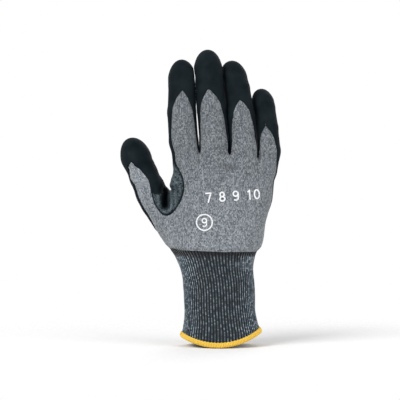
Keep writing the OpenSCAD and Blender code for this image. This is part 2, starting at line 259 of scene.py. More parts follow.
# %% [markdown]
# ## Folds, gathers and ripples
# Cloth over a hand is never quite smooth. The web of the thumb is gathered into a deep fold, the
# outline is drawn in at some places and pushed out at others, and all of it ripples a little. A
# cloth simulation could find such folds but not put them where this glove has them. So each one
# is a soft dent added to the distance.

# %% Dents in the distance
# Folds below the crotch of the thumb. Each is a line on the back of the hand, x and z, then its
# depth (a ridge if it is negative) and its width.
FOLDS = [((-47.6, 126.5), (-47.2, 114.5), 8.5, 3.4), ((-39.5, 127), (-42.5, 110), -0.9, 1.8),
         ((-54, 124), (-51, 111), -0.8, 1.8), ((-36.5, 132), (-36.5, 117), 0.5, 1.4),
         ((-57, 130), (-55.5, 115), 0.5, 1.3)]
# Places where the outline swells or is drawn in: x, z, how much (in is positive), how wide.
GATHERS = [(-38.5, 133.5, -3.6, 4.6), (-50.5, 140, 1.7, 4.6), (-46.8, 133, 1.2, 3.2),
           (-42.4, 127.4, 2.8, 2.0), (-79.5, 141.5, 1.9, 5.5), (8.3, 151.5, -4.0, 4.8),
           (49.5, 143.5, 1.3, 6.5), (-46.8, 77, 1.4, 4.5)]
FOLDS_END = (15, 6)      # towards the palm the folds are gone at the first, and full at the second


def fold_distance(p, fold):
    """Distance from points to the line of a fold, seen from the back of the hand."""
    (ax, az), (bx, bz) = fold[:2]
    return rod(p * np.array([1, 0, 1], np.float32), (ax, 0, az), (bx, 0, bz), 0, 0)


def folds(p):
    d = 0
    for fold in FOLDS:
        depth, width = fold[2:]
        d = d + depth * np.exp(-(fold_distance(p, fold) / width) ** 2)
    d = d * smooth(*FOLDS_END, p[..., 1])
    for x, z, amount, width in GATHERS:
        d = d + amount * np.exp(-((p[..., 0] - x) ** 2 + (p[..., 2] - z) ** 2) / width ** 2)
    return d


def ripple(p):
    """The gentle unevenness of cloth over a form, in millimetres."""
    x, y, z = p[..., 0], p[..., 1], p[..., 2]
    return (0.16 * np.sin(x / 4.1 + 1.3 * np.sin(z / 9.0)) * np.sin(z / 6.3 + 0.7 * np.sin(y / 5.0))
            + 0.22 * np.sin(z / 15.0 + x / 11.0 + 1.1) * np.sin(x / 13.0 - y / 9.0))


print("folds", len(FOLDS), "gathers", len(GATHERS), "ripple there", ripple(middle_of_palm).round(2))

# %% [markdown]
# ## From distances to skins
# The field is filled on a grid of points and meshed where it is zero. One grid for the whole
# glove would be simplest, but neighbouring fingers nearly touch, and their fields would melt into
# one. So each stall gets a grid of its own that lines up with the palm's, and is kept on its own
# side of the plane half way to the next stall.

# %% A grid, and the mesh in it
STEP = 0.8                                    # finer than this shows no more, and takes longer
ORIGIN = np.array([-100.0, -40.0, 66.0])      # all grids count from this corner


def grid(lo, hi):
    """Points of the shared grid between two corners, and the number of the first one."""
    i0 = np.floor((np.array(lo) - ORIGIN) / STEP).astype(int)
    i1 = np.ceil((np.array(hi) - ORIGIN) / STEP).astype(int)
    axes = [(np.arange(a, b) * STEP + o).astype(np.float32) for a, b, o in zip(i0, i1, ORIGIN)]
    return i0, np.stack(np.meshgrid(*axes, indexing="ij"), -1)


def mesh_of(field, i0):
    """Points and quads of the surface where the field is zero."""
    g = openvdb.FloatGrid()
    g.copyFromArray(np.ascontiguousarray(field, np.float32))
    pts, quads = g.convertToQuads(0.0)
    pts = (pts + i0) * STEP + ORIGIN
    return pts.astype(float), quads.astype(int)


i0, p = grid((-9, -9, 90), (9, 9, 108))
print("a test ball gives", len(mesh_of(rod(p, (0, 0, 98), (0, 0, 99), 6, 6), i0)[1]), "quads")

# %% [markdown]
# A mesh from a grid keeps a trace of its stair steps. A Smooth modifier would take them out and
# shrink the fingertips with them. So each round of smoothing is followed by one in the opposite
# direction that gives the lost volume back. The normals point the lifted layers outwards later.

# %% Even it out, and find its outside
ROUNDS = 3
THERE, BACK = 0.5, -0.52


def relax(v, quads):
    """Evens out the grid's stair steps without shrinking: a smoothing step and one back."""
    e = np.concatenate([quads[:, [0, 1]], quads[:, [1, 2]], quads[:, [2, 3]], quads[:, [3, 0]]])
    n = np.bincount(e.ravel(), minlength=len(v)).astype(float)[:, None]
    for _ in range(ROUNDS):
        for w in (THERE, BACK):
            s = np.zeros_like(v)
            for k in range(3):
                s[:, k] = (np.bincount(e[:, 0], v[e[:, 1], k], len(v))
                           + np.bincount(e[:, 1], v[e[:, 0], k], len(v)))
            v = v + w * (s / np.maximum(n, 1) - v)
    return v


def halves(quads):
    """Two triangles for each quad."""
    return np.concatenate([quads[:, [0, 1, 2]], quads[:, [0, 2, 3]]])


def vertex_normals(v, tris):
    f = np.cross(v[tris[:, 1]] - v[tris[:, 0]], v[tris[:, 2]] - v[tris[:, 0]])
    n = np.stack([sum(np.bincount(tris[:, c], f[:, k], len(v)) for c in range(3))
                  for k in range(3)], 1)
    return n / np.maximum(np.linalg.norm(n, axis=1, keepdims=True), 1e-9)


def surface(field_of, lo, hi, bound=None):
    """Points and triangles of a distance between two corners, with its faces looking outwards."""
    i0, p = grid(lo, hi)
    field = field_of(p) + ripple(p) + folds(p)
    if bound:
        field = np.maximum(field, bound(p))
    v, quads = mesh_of(field, i0)
    v = relax(v, quads)
    tris = halves(quads)
    n = vertex_normals(v, tris)
    probe = field_of((v + n).astype(np.float32)) - field_of((v - n).astype(np.float32))
    if np.median(probe) < 0:
        tris = tris[:, ::-1]
    return v, tris


test_ball = surface(lambda p: rod(p, (0, 0, 98), (0, 0, 99), 6, 6), (-9, -9, 90), (9, 9, 108))
print("the test ball's box is", np.ptp(test_ball[0], axis=0).round(1), "mm, rippled like cloth")

# %% [markdown]
# Rubber may touch rubber between the fingers, but must not pass into it. A Boolean modifier could
# trim each pair, and would leave sharp edges where they meet. Here each stall's field stops a
# little short of the plane half way to its neighbour, by the thickness of the rubber to come.

# %% Mesh the hand and each stall
ROOT_MELT = 4.0      # the fillet between a stall and the palm
# how far each stall keeps from the plane half way to the next one, low down and near the tips,
# and the height where that changes; the rubber takes 0.73 of it
KEEP = {("index", "middle"): (0.755, 1.0, 222), ("middle", "ring"): (1.0, 1.5, 200),
        ("ring", "little"): (1.5, 1.5, 190)}
KEEP_FROM = (1, 8)   # above the root, where a stall starts to keep its distance and fully does
FREE = 3             # and how far past the plane it may go below that
HAND_BOX = ((-92, -34, 70), (62, 46, 184))
ROOM = 20            # free room round a stall's line, for its radius and a margin
STUMP = 10           # how much of the palm each stall's mesh starts with


def stall_and_palm(s):
    return lambda p: melt(palm_distance(p), stall_distance(p, s), ROOT_MELT)


def own_side(s):
    """Distance past the plane half way to the next stalls, so that rubber only touches rubber."""
    beside = [(q, keep) for pair, keep in KEEP.items() for q in stalls
              if s.name in pair and q.name in pair and q is not s]
    if not beside:
        return None

    def bound(p):
        own, clear = stall_distance(p, s), smooth(*KEEP_FROM, (p - s.root) @ s.along[0])
        past = [(own - stall_distance(p, q)) / 2 + low + (high - low) * smooth(z - 5, z + 3, p[..., 2])
                for q, (low, high, z) in beside]
        return np.max(past, axis=0) - FREE * (1 - clear)
    return bound


def whole_hand(p):
    palm = palm_distance(p)
    return np.min([melt(palm, stall_distance(p, s), ROOT_MELT) for s in everyone], axis=0)


hand_mesh = surface(whole_hand, *HAND_BOX)
stall_mesh = {}
for s in everyone:
    lo, hi = np.min(s.line, axis=0) - ROOM, np.max(s.line, axis=0) + ROOM
    lo[2] = s.root[2] - STUMP
    stall_mesh[s.name] = surface(stall_and_palm(s), lo, hi, own_side(s))
print("points: hand", len(hand_mesh[0]), "stalls", {k: len(v[0]) for k, v in stall_mesh.items()})

# %% [markdown]
# ## Where the rubber ends
# The liner was dipped palm first, so the rubber covers the palm, wraps the fingertips, and climbs
# the sides of each finger, leaving a pointed window of knit on its back. The edge could be painted
# as a mask on a texture. We want it in the mesh, so everything about it follows from one number
# at each point of the skin: how many millimetres inside the edge of the dip the point lies. This
# needs two measures first: the place round a stall, and the distance into an outline.

# %% Round a stall, and inside an outline
FAR = 1e9            # further than anything here


def round_stall(p, s):
    """Station along a stall, angle from its back, and distance from its middle line."""
    best = np.full(len(p), FAR)
    station, angle = np.zeros(len(p)), np.zeros(len(p))
    start, last = 0.0, len(s.line) - 2
    for i, (a, b) in enumerate(zip(s.line, s.line[1:])):
        length = np.linalg.norm(b - a)
        d = (b - a) / length
        # the line runs on beyond both ends
        t = np.clip((p - a) @ d, -FAR if i == 0 else 0, FAR if i == last else length)
        q = p - a - t[:, None] * d
        r = np.linalg.norm(q, axis=1)
        back = -np.cross(s.axis, d)
        m = r < best
        best = np.where(m, r, best)
        station = np.where(m, start + t, station)
        angle = np.where(m, np.arctan2(-q @ s.axis, q @ back), angle)
        start += length
    return station, angle, best


def nearest_stall(p):
    return np.stack([stall_distance(p, s) for s in everyone]).argmin(0)


print("points of the hand that are nearest to each finger:", np.bincount(nearest_stall(hand_mesh[0])))

# %% Inside an outline, and the ragged edge
def rounded(line):
    """A closed outline with its corners cut back three times."""
    q = np.array(line, float)
    for _ in range(3):
        nxt = np.roll(q, -1, 0)
        q = np.stack([q * 0.75 + nxt * 0.25, q * 0.25 + nxt * 0.75], 1).reshape(-1, 2)
    return q


def inside_outline(p, line):
    """Distance into a closed outline, negative outside it."""
    best, inside = np.full(len(p), FAR), np.zeros(len(p), bool)
    for a, b in zip(line, np.roll(line, -1, 0)):
        d = b - a
        t = np.clip(((p - a) @ d) / (d @ d), 0, 1)
        best = np.minimum(best, np.linalg.norm(p - a - t[:, None] * d, axis=1))
        if a[1] != b[1]:
            x = a[0] + (p[:, 1] - a[1]) / (b[1] - a[1]) * (b[0] - a[0])
            inside ^= ((a[1] > p[:, 1]) != (b[1] > p[:, 1])) & (p[:, 0] < x)
    return np.where(inside, best, -best)


def wobble(p, size):
    """The uneven edge that a dip leaves, in millimetres."""
    x, y, z = p.T / size
    return (np.sin(x * 2.1 + 1.7 * np.sin(z * 1.3 + y)) + np.sin(z * 2.6 + 1.9 * np.sin(y * 1.7 - x))
            + 0.6 * np.sin(x * 5.3 - z * 4.1) + 0.5 * np.sin(z * 7.7 + y * 3.0)) / 3.1


def curve(points, z):
    """Reads a line that is given as pairs of a height and a value."""
    return np.interp(z, *np.transpose(points))


print("the edge wobbles by up to", np.abs(wobble(hand_mesh[0], 6.0)).max().round(2), "of its size")

# %% [markdown]
# ## The dip on the hand
# Seen from the side, the edge of the rubber runs down from the finger roots to the heel. Down the
# two outer edges of the hand a narrow strip of it shows from the back. At the crotch of the thumb
# the first dip fills a rounded U, and the second dip lies inside that.

# %% The edge on the hand
# the U at the crotch of the thumb, on the back of the hand, x and z
U_LINE = [(-42, 157), (-35, 146), (-31, 137), (-30.5, 128), (-33, 119), (-39, 109.2), (-45, 105.3),
          (-51, 107.4), (-56, 115), (-58.5, 122), (-60, 132), (-63, 141), (-58, 158)]
# the inner edges of the two strips from the top down: z, x and y
OUTER = {"thumb": [(139.5, -78.5, 15.0), (136, -75.8, 8.5), (132, -73.2, 4.6), (126, -71.1, 3.4),
                   (112, -64.0, 2.3), (101, -58.4, 2.3), (96, -57.4, 3.0)],
         "little": [(164, 50.0, -2.0), (150, 48.7, -1.2), (140, 46.9, -0.4), (131, 45.7, 0.8),
                    (126, 47, 1.5)]}
# how far towards the palm the edge lies, by height: on the outer side of the hand, below the index
# finger and on the thumb; and how much further on the little finger, whose root stands forward
SIDE = [(84, 9), (108, 5), (130, 1), (148, -3), (160, -4.3)]
INDEX_SIDE = [(100, 3), (150, -6.5)]
THUMB_SIDE = [(92, 7.5), (104, 6.5), (118, 6.5), (130, 7.5)]
LITTLE_MORE, LITTLE_LESS = 4.2, 2.6
HEEL_EDGE, HEEL_MELT = 6.5, 16       # the dip stops this far above the seam, with round corners
# the second dip keeps inside the U, ends at a height on the thumb, and climbs towards the palm
SECOND_IN, SECOND_TOP, SECOND_CLIMB, THUMB_X = 0.5, 125, 2.5, -51
u_line = rounded(U_LINE)


def side_edge(x, z):
    """How far towards the palm the rubber's edge lies: it differs by height and by finger."""
    side = curve(SIDE, z)
    edge = side + (curve(INDEX_SIDE, z) - side) * smooth(-30, -39, x) * smooth(125, 140, z)
    edge = edge + (curve(THUMB_SIDE, z) - edge) * smooth(-44, -52, x)
    more = LITTLE_MORE - LITTLE_LESS * smooth(42, 48, x)
    return edge + more * smooth(26, 34, x) * smooth(128, 146, z)


def strip(p, side):
    """Distance inside a strip. The skin is round there, so further out and nearer the palm add up."""
    z, x, y = np.array(OUTER[side][::-1]).T
    out = p[:, 0] - np.interp(p[:, 2], z, x)
    inside = (-out if side == "thumb" else out) * 0.6 + (p[:, 1] - np.interp(p[:, 2], z, y)) * 0.7
    # the strip runs out beyond both ends of its line
    return inside - 1.2 * np.maximum(p[:, 2] - z[-1], 0) - 1.2 * np.maximum(z[0] - p[:, 2], 0)


def dip_on_hand(p):
    """Millimetres inside the first and the second dip, away from the fingers."""
    x, y, z = p.T
    edge = melt(y - side_edge(x, z), (z - seam_z - HEEL_EDGE) * 0.9, HEEL_MELT)
    u = inside_outline(np.stack([x, z], 1), u_line)
    top = SECOND_TOP - z + SECOND_CLIMB * np.maximum(x - THUMB_X, 0)
    return np.maximum(edge, u), np.minimum(u - SECOND_IN, top + 2.2 * wobble(p, 2.5))


print("share of the hand under rubber:", (dip_on_hand(hand_mesh[0])[0] > 0).mean().round(2))

# %% [markdown]
# ## The windows on the fingers
# On the back of each finger the rubber leaves an arch of knit with its point towards the tip. It
# is drawn in the angle round the stall: nothing at the point, then wider and wider, and each
# finger has its own, because the hand turned a little in the dip.

# %% The edge on the fingers
# the tip of each window as a share of the stall, the angle of that tip, how many degrees the
# window reaches to the thumb's side and to the other, and how many millimetres it widens over
WINDOW = {"index": (0.625, 1, 63, 68, 14), "middle": (0.57, -5, 66, 76, 14),
          "ring": (0.52, 8, 68, 68, 13), "little": (0.42, -5, 62, 62, 11),
          "thumb": (0.54, 4, 88, 33, 9)}
CUT_AT = 2.5         # each stall is its own piece from here up, measured from its root
BLEND_OVER = 10      # and the hand's edge has turned into the window's this much further up
STRIP_MELT = 4.5


def window(s, station, angle, r):
    """Millimetres outside the window of a stall."""
    share, middle, near_side, far_side, quick = WINDOW[s.name]
    below = share * s.total - station
    off = angle - np.radians(middle)
    reach = np.radians(np.where(off < 0, near_side, far_side))
    half = reach * (1 - np.exp(-np.maximum(below, 0) / quick))
    return r * (np.abs(off) - half) - np.minimum(below, 0) * 0.8


def dip(p):
    """Millimetres inside the first dip, and inside the second dip at the thumb crotch."""
    first, second = dip_on_hand(p)
    near = nearest_stall(p)
    for k, s in enumerate(everyone):
        station, angle, r = round_stall(p, s)
        m = (near == k) & (station > CUT_AT)
        w = smooth(CUT_AT, CUT_AT + BLEND_OVER, station)
        first = np.where(m, first + (window(s, station, angle, r) - first) * w, first)
        if s is thumb:
            second = np.minimum(second, np.where(near == k, CUT_AT - 1 - station, 40))
    for side in OUTER:
        first = -melt(-first, -strip(p, side), STRIP_MELT)
    return first + 0.35 * wobble(p, 6.0), second + 0.3 * wobble(p + 9, 5.0)


for s in everyone:
    print(s.name, "window ends", (WINDOW[s.name][0] * s.total).round(1), "mm above the root")

# %% [markdown]
# ## Cutting a skin along a line
# To show two materials side by side we could give the faces of one mesh different slots, but then
# the edge would step from face to face. For a clean edge each triangle that the line crosses is
# split where the value passes zero. The same routine cuts out the windows, the printed numerals
# and the pieces that follow each hinge.

# %% A skin with values on its points
class Skin:
    """Points v, triangles t, and a dictionary a of values at each point."""
    def __init__(self, v, tris, **values):
        self.v, self.t, self.a = v, tris, values

    def cut(self, c):
        """The part where c is above zero. Crossed triangles are split along the zero line."""
        c = np.where(np.abs(c) < 0.02, 0.02, c)
        keep = c > 0
        count = keep[self.t].sum(1)
        all_in, mixed = self.t[count == 3], self.t[(count == 1) | (count == 2)]
        flags = keep[mixed]
        one_in = flags.sum(1) == 1
        # turn each crossed triangle so that its odd corner, a, comes first
        odd = np.where(one_in, flags.argmax(1), (~flags).argmax(1))
        rows = np.arange(len(mixed))
        a, b, d = (mixed[rows, (odd + k) % 3] for k in range(3))
        edges = np.sort(np.concatenate([np.stack([a, b], 1), np.stack([a, d], 1)]), 1)
        uniq, where = np.unique(edges, axis=0, return_inverse=True)
        where = where.ravel() + len(self.v)
        ab, ad = where[:len(a)], where[len(a):]
        t = (c[uniq[:, 0]] / (c[uniq[:, 0]] - c[uniq[:, 1]]))[:, None]

        def mix(q):
            q2 = q if q.ndim == 2 else q[:, None]
            new = q2[uniq[:, 0]] * (1 - t) + q2[uniq[:, 1]] * t
            return np.concatenate([q2, new]).reshape((-1,) + q.shape[1:])

        tris = [all_in, np.stack([a, ab, ad], 1)[one_in],
                np.stack([ab, b, d], 1)[~one_in], np.stack([ab, d, ad], 1)[~one_in]]
        out = Skin(mix(self.v), np.concatenate(tris), **{k: mix(q) for k, q in self.a.items()})
        return out.tidy()

    def tidy(self):
        """Drops points that no triangle uses."""
        used = np.unique(self.t)
        new = np.full(len(self.v), -1)
        new[used] = np.arange(len(used))
        return Skin(self.v[used], new[self.t], **{k: q[used] for k, q in self.a.items()})

    def normals(self):
        self.a["n"] = vertex_normals(self.v, self.t)
        return self

    def lift(self, height):
        """Moves each point out along its normal."""
        self.v = self.v + self.a["n"] * np.reshape(height, (-1, 1))


above_knuckles = Skin(*hand_mesh).cut(hand_mesh[0][:, 2] - 150)
print("cut at z 150, the hand's", len(hand_mesh[1]), "triangles leave", len(above_knuckles.t))

# %% [markdown]
# ## Knit coordinates
# A knitted liner is rows of loops, called courses, on columns called wales. The wales run up the
# hand and along each finger. Unwrapping the mesh would lay the stitches at odd angles, so each
# point gets two lengths instead: how far round it is, and how far up. Round the palm the way
# round goes flat across the back and then turns the corner at the side, like a tape measure.

# %% Lengths round and up
# the palm as a flat tube, by height: the middle of it, its half width, and the radius of its sides
PALM_MID = [(78, -6), (100, -6), (130, 1), (160, 4)]
PALM_HALF = [(78, 38), (100, 42), (130, 44), (160, 47)]
PALM_DEEP = [(78, 24), (120, 18), (160, 12)]
KNIT_BLEND = 8       # the palm's lengths turn into a stall's over this much of it


def knit_lengths(p):
    x, y, z = p.T
    mid, half, deep = (curve(line, z) for line in (PALM_MID, PALM_HALF, PALM_DEEP))
    dx = x - mid
    over = np.maximum(np.abs(dx) - (half - deep), 0)
    turn = np.arctan2(over, np.maximum(-y, 1e-3) * (y < 0) - y * (y >= 0))
    out = np.maximum(np.hypot(over, y) - deep, 0)
    u = mid + np.sign(dx) * (np.minimum(np.abs(dx), half - deep) + deep * turn + out)
    v = z.copy()
    near = nearest_stall(p)
    for k, s in enumerate(everyone):
        station, angle, _ = round_stall(p, s)
        m = (near == k) & (station > CUT_AT)
        w = smooth(CUT_AT, CUT_AT + KNIT_BLEND, station)
        u = np.where(m, u + (s.root[0] + s.radii[0] * angle - u) * w, u)
        v = np.where(m, v + (s.root[2] + station - v) * w, v)
    return np.stack([u, v], 1)


print("the knit of the hand is", np.ptp(knit_lengths(hand_mesh[0]), axis=0).round(), "mm round and up")

# %% [markdown]
# ## Liner, first dip and second dip
# The knit goes a little way under the rubber. A Solidify modifier would give the rubber an even
# wall with a step at its edge. A real dip thins out, so the rubber is the same skin lifted off
# the knit by a thickness that runs out to nothing over the last millimetre and a half.

# %% Dress each skin in its layers
KNIT_UNDER = 1.5                 # how far the knit goes on below the rubber
COAT, COAT_EDGE = 0.7, 1.5       # thickness of the first dip, and the width of its thin edge
SECOND, SECOND_EDGE = 0.45, 5
CLEAR = 0.03                     # keeps two layers from lying in the same place
HOLE = FOLDS[0]                  # the deepest fold, under the notch between thumb and palm


def layers(v, tris):
    """The knit, the first dip and the second dip of one skin."""
    first, second = dip(v)
    base = Skin(v, tris, f=first, g=second, uv=knit_lengths(v), rest=v.copy()).normals()
    knit = base.cut(KNIT_UNDER - base.a["f"])
    coat = base.cut(base.a["f"])
    coat.lift(CLEAR + COAT * smooth(-0.1, COAT_EDGE, coat.a["f"]))
    flat = coat.a["n"].copy()
    coat.normals()
    # near its rim the rubber is shaded partly like the knit, so that the edge looks thin
    rim = smooth(1.6, 0.4, coat.a["f"])[:, None]
    coat.a["n"] = coat.a["n"] * (1 - rim * 0.3) + flat * rim * 0.3
    if not (second > 0).any():
        return knit, coat, None
    patch = coat.cut(coat.a["g"])
    patch.lift(CLEAR + SECOND * smooth(0, SECOND_EDGE, patch.a["g"]))
    patch.normals()
    patch.a["fade"] = smooth(0, 1.8, patch.a["g"])
    patch.a["hole"] = fold_distance(patch.v, HOLE)
    return knit, coat, patch


hand_layers = layers(*hand_mesh)
stall_layers = {name: layers(*m) for name, m in stall_mesh.items()}
print("points of the hand's layers", [len(q.v) for q in hand_layers])

# %% [markdown]
# ## Colours and surfaces
# All the finishes are made from formulas, with no pictures, so they hold up from near and far and
# bend with their pieces. Blender builds a material from nodes. Long formulas are easier to read
# as sums than as nodes, so two small classes let us write a + b * c and lay the Math nodes.

# %% Sums that become shader nodes
class Value:
    """A number or a colour on its way through a finish."""
    def __init__(self, finish, socket):
        self.finish, self.socket = finish, socket

    def math(self, kind, *others):
        return self.finish.math(kind, self, *others)

    def __add__(self, other):
        return self.math("ADD", other)

    def __sub__(self, other):
        return self.math("SUBTRACT", other)

    def __rsub__(self, other):
        return self.finish.math("SUBTRACT", other, self)

    def __mul__(self, other):
        return self.math("MULTIPLY", other)

    def __truediv__(self, other):
        return self.math("DIVIDE", other)

    def floor(self):
        return self.math("FLOOR")

    def from_middle(self):
        """Where the number lies between two whole ones, from -0.5 to 0.5."""
        return self.math("FRACT") - 0.5

    def size(self):
        return self.math("ABSOLUTE")

    def at_least(self, least):
        return self.math("MAXIMUM", least)

    def at_most(self, most):
        return self.math("MINIMUM", most)


class Finish:
    """A material with a plain colour and roughness to start from, and short names for nodes."""
    def __init__(self, name, colour, rough):
        self.m = bpy.data.materials.new(name)
        self.m.use_nodes = True
        self.m.diffuse_color = (*colour, 1)
        self.t = self.m.node_tree
        self.shader = self.t.nodes["Principled BSDF"]
        self.set("Base Color", (*colour, 1))
        self.set("Roughness", rough)

    def add(self, kind, **settings):
        node = self.t.nodes.new(kind)
        for k, v in settings.items():
            setattr(node, k, v)
        return node

    def put(self, socket, value):
        """A link if the value comes from a node, otherwise a constant."""
        if isinstance(value, Value):
            self.t.links.new(value.socket, socket)
        else:
            socket.default_value = value

    def fill(self, node, *values):
        for socket, value in zip(node.inputs, values):
            self.put(socket, value)
        return node

    def set(self, socket, value):
        self.put(self.shader.inputs[socket], value)

    def math(self, kind, *values):
        return Value(self, self.fill(self.add("ShaderNodeMath", operation=kind), *values).outputs[0])

    def join(self, x, y, z=0.0):
        return Value(self, self.fill(self.add("ShaderNodeCombineXYZ"), x, y, z).outputs[0])

    def split(self, vector):
        node = self.fill(self.add("ShaderNodeSeparateXYZ"), vector)
        return [Value(self, socket) for socket in node.outputs]

    def knit_uv(self):
        return self.split(Value(self, self.add("ShaderNodeUVMap", uv_map="knit").outputs[0]))[:2]

    def attribute(self, name, output="Fac"):
        return Value(self, self.add("ShaderNodeAttribute", attribute_name=name).outputs[output])

    def rest(self):
        """The place of a point at rest, so that a pattern stays put when its piece bends."""
        return self.attribute("rest", "Vector")

    def noise(self, at, scale, detail=2.0, rough=0.5):
        node = self.add("ShaderNodeTexNoise")
        for name, value in (("Vector", at), ("Scale", scale), ("Detail", detail), ("Roughness", rough)):
            self.put(node.inputs[name], value)
        return Value(self, node.outputs["Fac"])

    def random(self, at):
        node = self.add("ShaderNodeTexWhiteNoise", noise_dimensions="3D")
        self.put(node.inputs["Vector"], at)
        return Value(self, node.outputs["Value"])

    def ramp(self, value, stops):
        """Colours at a few heights of a value, and a mix between them."""
        node = self.add("ShaderNodeValToRGB")
        r = node.color_ramp
        while len(r.elements) < len(stops):
            r.elements.new(0.5)
        for e, (at, colour) in zip(r.elements, stops):
            e.position, e.color = at, (*colour, 1)
        return Value(self, self.fill(node, value).outputs[0])

    def between(self, value, lo, hi, at_lo, at_hi):
        """Runs smoothly from one number to another while a value goes from lo to hi."""
        node = self.add("ShaderNodeMapRange", interpolation_type="SMOOTHSTEP")
        return Value(self, self.fill(node, value, lo, hi, at_lo, at_hi).outputs[0])

    def shade(self, colour, factor):
        """A colour times a number."""
        node = self.add("ShaderNodeVectorMath", operation="SCALE")
        self.put(node.inputs[0], colour)
        self.put(node.inputs["Scale"], factor)
        return Value(self, node.outputs[0])

    def bump(self, height, depth_mm, strength=1.0):
        node = self.add("ShaderNodeBump")
        for name, value in (("Distance", depth_mm / MM), ("Strength", strength), ("Height", height)):
            self.put(node.inputs[name], value)
        self.t.links.new(node.outputs[0], self.shader.inputs["Normal"])


print("short names:", ", ".join(name for name in vars(Finish) if name[0] != "_"))

# %% [markdown]
# ## Finish: the liner
# The liner is a marl: its yarn twists light, mid and dark fibres together, so neighbouring
# stitches differ at random. Each stitch is a V of two legs. Modelling every loop would take
# millions of faces for what is hardly seen, so the legs are a height for the bump, each leg
# picks its own tone, and the colour is darkened between the legs as painted shade. The knit is
# made paler from the knuckles down, and paler out along the thumb as painted light from the left.

# %% Liner knit
WALE, COURSE = 1.5, 1.15          # width and height of a stitch
LEG_LEAN = 1.1                    # how many rows a leg climbs across its column
MARL = [(0.0, (0.07, 0.083, 0.096)), (0.3, (0.13, 0.146, 0.164)),
        (0.62, (0.188, 0.208, 0.23)), (1.0, (0.31, 0.33, 0.352))]


def stitches(finish, u, v):
    """A stocking stitch: the height of its legs, and a random number for each leg."""
    column = u / WALE
    off = column.from_middle().size()
    row = v / COURSE + off * LEG_LEAN
    across, up = (off - 0.25) / 0.25, row.from_middle()
    height = ((1.0 - across * across) * (1.0 - up * up * 3.6)).at_least(0.0).math("SQRT")
    return height, finish.random(finish.join((column * 2.0).floor(), row.floor(), 3.0))


liner = Finish("liner_knit", (0.2, 0.2, 0.215), 0.92)
u, v = liner.knit_uv()
leg, pick = stitches(liner, u, v)
slub = liner.noise(liner.join(u * 0.35, v * 0.9), 1.0, 3.0) - 0.5
tone = liner.ramp(pick + slub * 0.9, MARL)
x, _, z = liner.split(liner.rest())
heel = ((150.0 - z) * 0.0036 + 0.95).at_least(0.88).at_most(1.2)      # paler from the knuckles down
painted_thumb_light = ((-50.0 - x) * 0.021).at_least(0.0)                       # painted light from the left: paler out along the thumb
relief = leg * 0.55 + 0.62                                            # painted shade: darker between the legs
liner.set("Base Color", liner.shade(liner.shade(tone, heel + painted_thumb_light), relief))
liner.bump(leg, 0.35, 0.8)
liner.set("Specular IOR Level", 0.2)
liner.set("Sheen Weight", 0.2)
print(liner.m.name, len(liner.t.nodes), "nodes")

# %% [markdown]
# ## Finish: the first dip
# The palm is dipped in foamed nitrile rubber. Foam dries matt and a little sandy, nearly black,
# with hardly any shine. A fine noise gives the sand, and a broad one a slight cloudiness, which
# keeps it from looking like flat plastic.

# %% Foamed rubber
def two_tones(finish, patches, tones, grain, relief):
    """Soft patches of two close tones, and a fine grain: both give a noise's scale and detail."""
    rest = finish.rest()
    finish.set("Base Color", finish.ramp(finish.noise(rest, *patches), tones))
    finish.bump(finish.noise(rest, *grain), *relief)
    print(finish.m.name, len(finish.t.nodes), "nodes")


rubber = Finish("nitrile_coat", (0.008, 0.0125, 0.0155), 0.7)
two_tones(rubber, (0.09, 2.0), [(0.3, (0.0016, 0.0046, 0.0068)), (0.7, (0.0072, 0.0122, 0.0156))],
          (3.2, 3.0, 0.7), (0.12, 0.6))
rubber.set("Specular IOR Level", 0.07)

# %% [markdown]
# ## Finish: the second dip
# The crotch of the thumb wears out first, so it gets a second, thinner coat. This one dries grey
# and a little shiny, and cracks and puckers in rings round the fold of the web. Real creases so
# fine would need a very dense mesh, so they are rings of distance from the fold, shaken by noise.
# At its edge the coat fades into the first, and towards the fold its colour is darkened as painted shade.

# %% Second coat
second_coat = Finish("second_dip", (0.02, 0.028, 0.033), 0.4)
fade, away = second_coat.attribute("fade"), second_coat.attribute("hole")
crumple = second_coat.noise(second_coat.rest(), 0.75, 4.0, 0.7)
rings = (away * 1.6 + crumple * 11.0).math("SINE") * 0.12 + (crumple * 2.6 - 0.95)
shown = rings * fade
# painted shade: the colour darkens towards the fold of the web
tone = shown * second_coat.between(away, 1.6, 4.8, 0.0, 1.0)
second_coat.set("Base Color", second_coat.ramp(tone, [
    (0.02, (0.0035, 0.0065, 0.009)), (0.15, (0.022, 0.033, 0.038)),
    (0.45, (0.055, 0.078, 0.09)), (0.95, (0.13, 0.17, 0.19))]))
second_coat.bump(shown, 0.5, 0.8)
second_coat.set("Roughness", fade * -0.28 + 0.7)
second_coat.set("Specular IOR Level", tone * 0.4 + 0.07)
print(second_coat.m.name, len(second_coat.t.nodes), "nodes")

# %% [markdown]
# ## Finish: the rib
# The cuff is knitted in charcoal with a paler yarn that shows on the crests of the ribs. The
# ridges are modelled further down. The finish adds what is finer: rows of stitches, the dashes
# that slack yarn makes along a rib, painted shade at the top of the rib where the liner overhangs
# it, and painted light that makes both sides of the wrist paler.

# %% Rib knit
RIB_ROW = 1.3
rib_finish = Finish("rib_knit", (0.07, 0.073, 0.08), 0.9)
u, v = rib_finish.knit_uv()           # here u counts ribs
off = u.from_middle().size()
crest = (1.0 - off * 3.2).at_least(0.0)
row = v / RIB_ROW + off * 2.2
tick = row.from_middle()
tick = 1.0 - tick * tick * 3.4
pick = rib_finish.random(rib_finish.join(u.floor(), row.floor(), 1.0))
dash = rib_finish.noise(rib_finish.join(u.floor() * 7.3, v * 0.36), 1.0, 1.0)
light = crest * (pick * 0.75 + 0.3) * (dash * 3.2 - 0.55)
weave = rib_finish.ramp(light * tick, [(0.0, (0.003, 0.008, 0.0125)), (0.3, (0.038, 0.054, 0.068)),
                                       (0.9, (0.29, 0.335, 0.375))])
